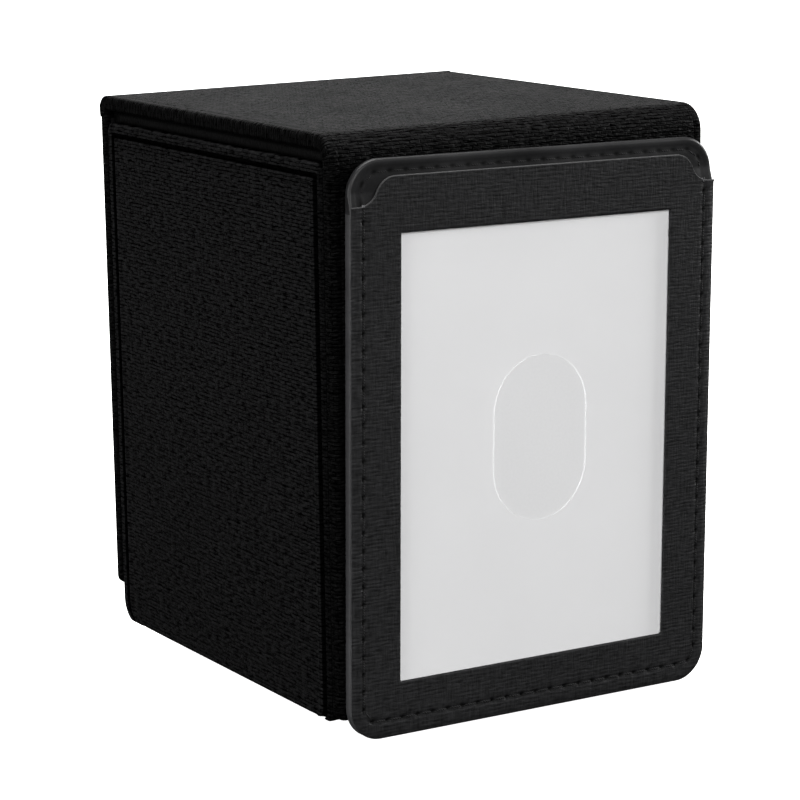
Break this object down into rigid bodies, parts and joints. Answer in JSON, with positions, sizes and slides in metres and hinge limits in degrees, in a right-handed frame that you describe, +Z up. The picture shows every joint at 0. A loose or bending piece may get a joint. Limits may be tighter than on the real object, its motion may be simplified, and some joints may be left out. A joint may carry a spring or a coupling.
{
  "type": "card deck box",
  "caption": "Rigid card deck box with a fold-back wrap lid on a soft hinge and a sewn front pocket that shows a card behind a clear window.",
  "frame": {"origin": "centre of the whole object's bounding box in X and Y, on the surface that the box stands on", "axes": "+Z up, -Y towards the front with the display pocket, +X to the right seen from the front"},
  "size_m": [0.0826, 0.0914, 0.111],
  "materials": {
    "grained_leather": "fine cross-grain faux leather, semi-matt black",
    "smooth_leather": "smooth faux leather, satin black",
    "crosshatch_leather": "embossed cross-hatch faux leather, satin black",
    "microfibre_lining": "short-nap microfibre, dark",
    "greyboard": "plain grey paperboard",
    "magnet_plating": "nickel-plated disc",
    "clear_film": "clear flexible film",
    "black_thread": "twisted polyester thread",
    "blank_card": "plain light grey card, no printing"
  },
  "bodies": {
    "tray": {"tray_floor": "grained_leather", "tray_left_wall": "grained_leather", "tray_right_wall": "grained_leather", "tray_front_wall": "grained_leather", "tray_back_wall": "grained_leather", "tray_magnets": "magnet_plating", "floor_lining": "microfibre_lining", "left_lining": "microfibre_lining", "right_lining": "microfibre_lining", "front_lining": "microfibre_lining", "back_lining": "microfibre_lining", "left_side_panel": "grained_leather", "right_side_panel": "grained_leather", "underside_panel": "grained_leather", "back_cover": "grained_leather", "back_board": "greyboard", "hinge_strip": "grained_leather"},
    "lid": {"lid_cover": "grained_leather", "lid_top_board": "greyboard", "lid_front_board": "greyboard", "lid_magnets": "magnet_plating", "lid_top_lining": "microfibre_lining", "lid_front_lining": "microfibre_lining", "pocket_back": "smooth_leather", "pocket_welt": "smooth_leather", "window_film": "clear_film", "pocket_front": "crosshatch_leather", "seam_thread": "black_thread", "top_thread": "black_thread"},
    "card": {"display_card": "blank_card"}
  },
  "joints": [
    {"name": "lid_hinge", "type": "hinge", "parent": "tray", "child": "lid", "pos_m": [0, 0.04442, 0.1097], "axis": [-1, 0, 0], "range_deg": [0, 180], "deforming": ["hinge_strip"]},
    {"name": "card_slide", "type": "slide", "parent": "lid", "child": "card", "axis": [0.0187, 0, 0.9998], "range_m": [0, 0.1]}
  ]
}
